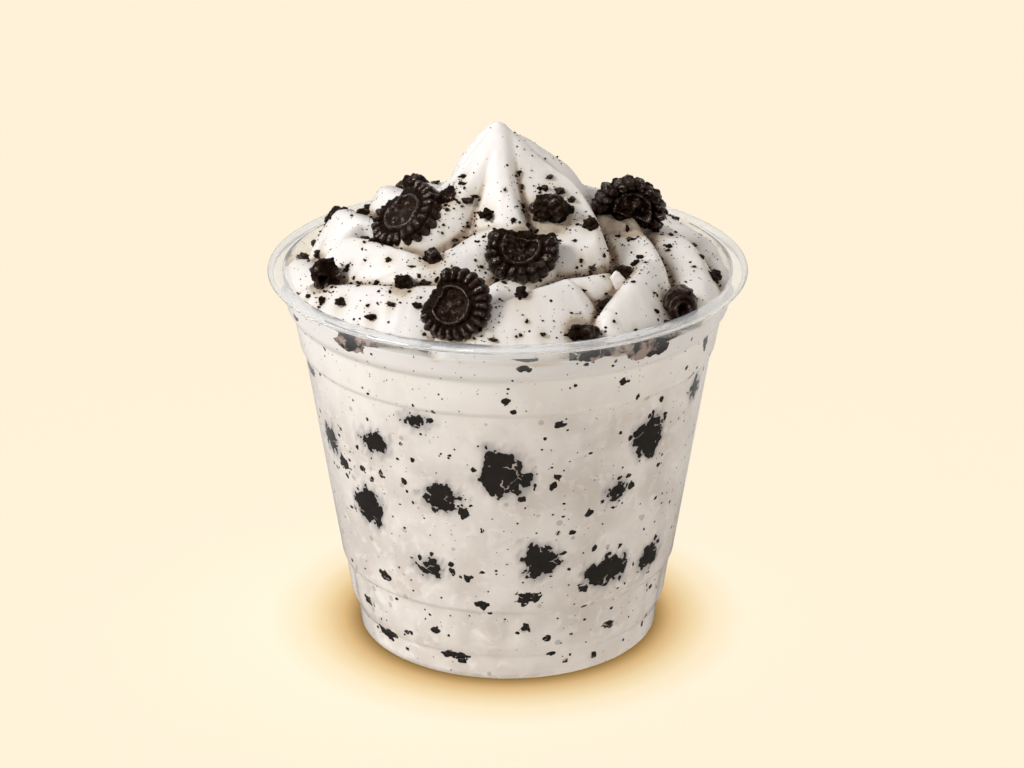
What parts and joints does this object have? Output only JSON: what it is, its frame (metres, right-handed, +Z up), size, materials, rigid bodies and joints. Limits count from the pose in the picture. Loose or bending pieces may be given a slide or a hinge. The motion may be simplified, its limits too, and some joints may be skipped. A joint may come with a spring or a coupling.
{
  "type": "blended ice cream cup",
  "caption": "Clear tapered plastic cup filled with blended vanilla ice cream, topped by a folded peak with broken chocolate cookie pieces, standing on its foot ring.",
  "frame": {"origin": "middle of the cup's foot ring, on the surface it stands on", "axes": "+Z up along the cup's axis, -Y towards the front, where the broad cookie piece sits by the lip, +X to the right seen from the front"},
  "size_m": [0.0978, 0.0978, 0.1084],
  "materials": {
    "clear_plastic": "clear gloss",
    "blended_ice_cream": "soft satin",
    "soft_serve": "soft satin",
    "chocolate_cookie": "matte crumbly",
    "soaked_cookie": "damp satin"
  },
  "bodies": {
    "root": {"cup": "clear_plastic", "cookie_wafer_left": "chocolate_cookie", "cookie_wafer_front": "chocolate_cookie", "cookie_wafer_middle": "chocolate_cookie", "cookie_wafer_right": "chocolate_cookie", "cookie_wafer_back": "chocolate_cookie", "cookie_wafer_back_right": "chocolate_cookie", "cookie_chunk_centre": "chocolate_cookie", "cookie_chunk_right": "chocolate_cookie", "cookie_chunk_left": "chocolate_cookie", "cookie_chunk_hollow": "chocolate_cookie", "cookie_chunk_rim": "chocolate_cookie", "cookie_chunk_small_left": "chocolate_cookie", "cookie_chunk_small_low": "chocolate_cookie", "cookie_chunk_ridge": "chocolate_cookie", "cookie_chunk_back": "chocolate_cookie", "cookie_chunk_back_left": "chocolate_cookie", "cookie_chunk_back_edge": "chocolate_cookie", "cookie_chunk_back_high": "chocolate_cookie", "wall_chunk_01": "soaked_cookie", "wall_chunk_02": "soaked_cookie", "wall_chunk_03": "soaked_cookie", "wall_chunk_04": "soaked_cookie", "wall_chunk_05": "soaked_cookie", "wall_chunk_06": "soaked_cookie", "wall_chunk_07": "soaked_cookie", "wall_chunk_08": "soaked_cookie", "wall_chunk_09": "soaked_cookie", "wall_chunk_10": "soaked_cookie", "wall_chunk_11": "soaked_cookie", "wall_chunk_12": "soaked_cookie", "wall_chunk_13": "soaked_cookie", "wall_chunk_14": "soaked_cookie", "wall_chunk_15": "soaked_cookie", "wall_chunk_16": "soaked_cookie", "wall_chunk_17": "soaked_cookie", "wall_chunk_18": "soaked_cookie", "wall_chunk_19": "soaked_cookie", "wall_chunk_20": "soaked_cookie", "wall_chunk_21": "soaked_cookie", "wall_chunk_22": "soaked_cookie", "wall_chunk_23": "soaked_cookie", "wall_chunk_24": "soaked_cookie", "blended_ice_cream": "blended_ice_cream", "soft_serve_swirl": "soft_serve"}
  },
  "joints": []
}
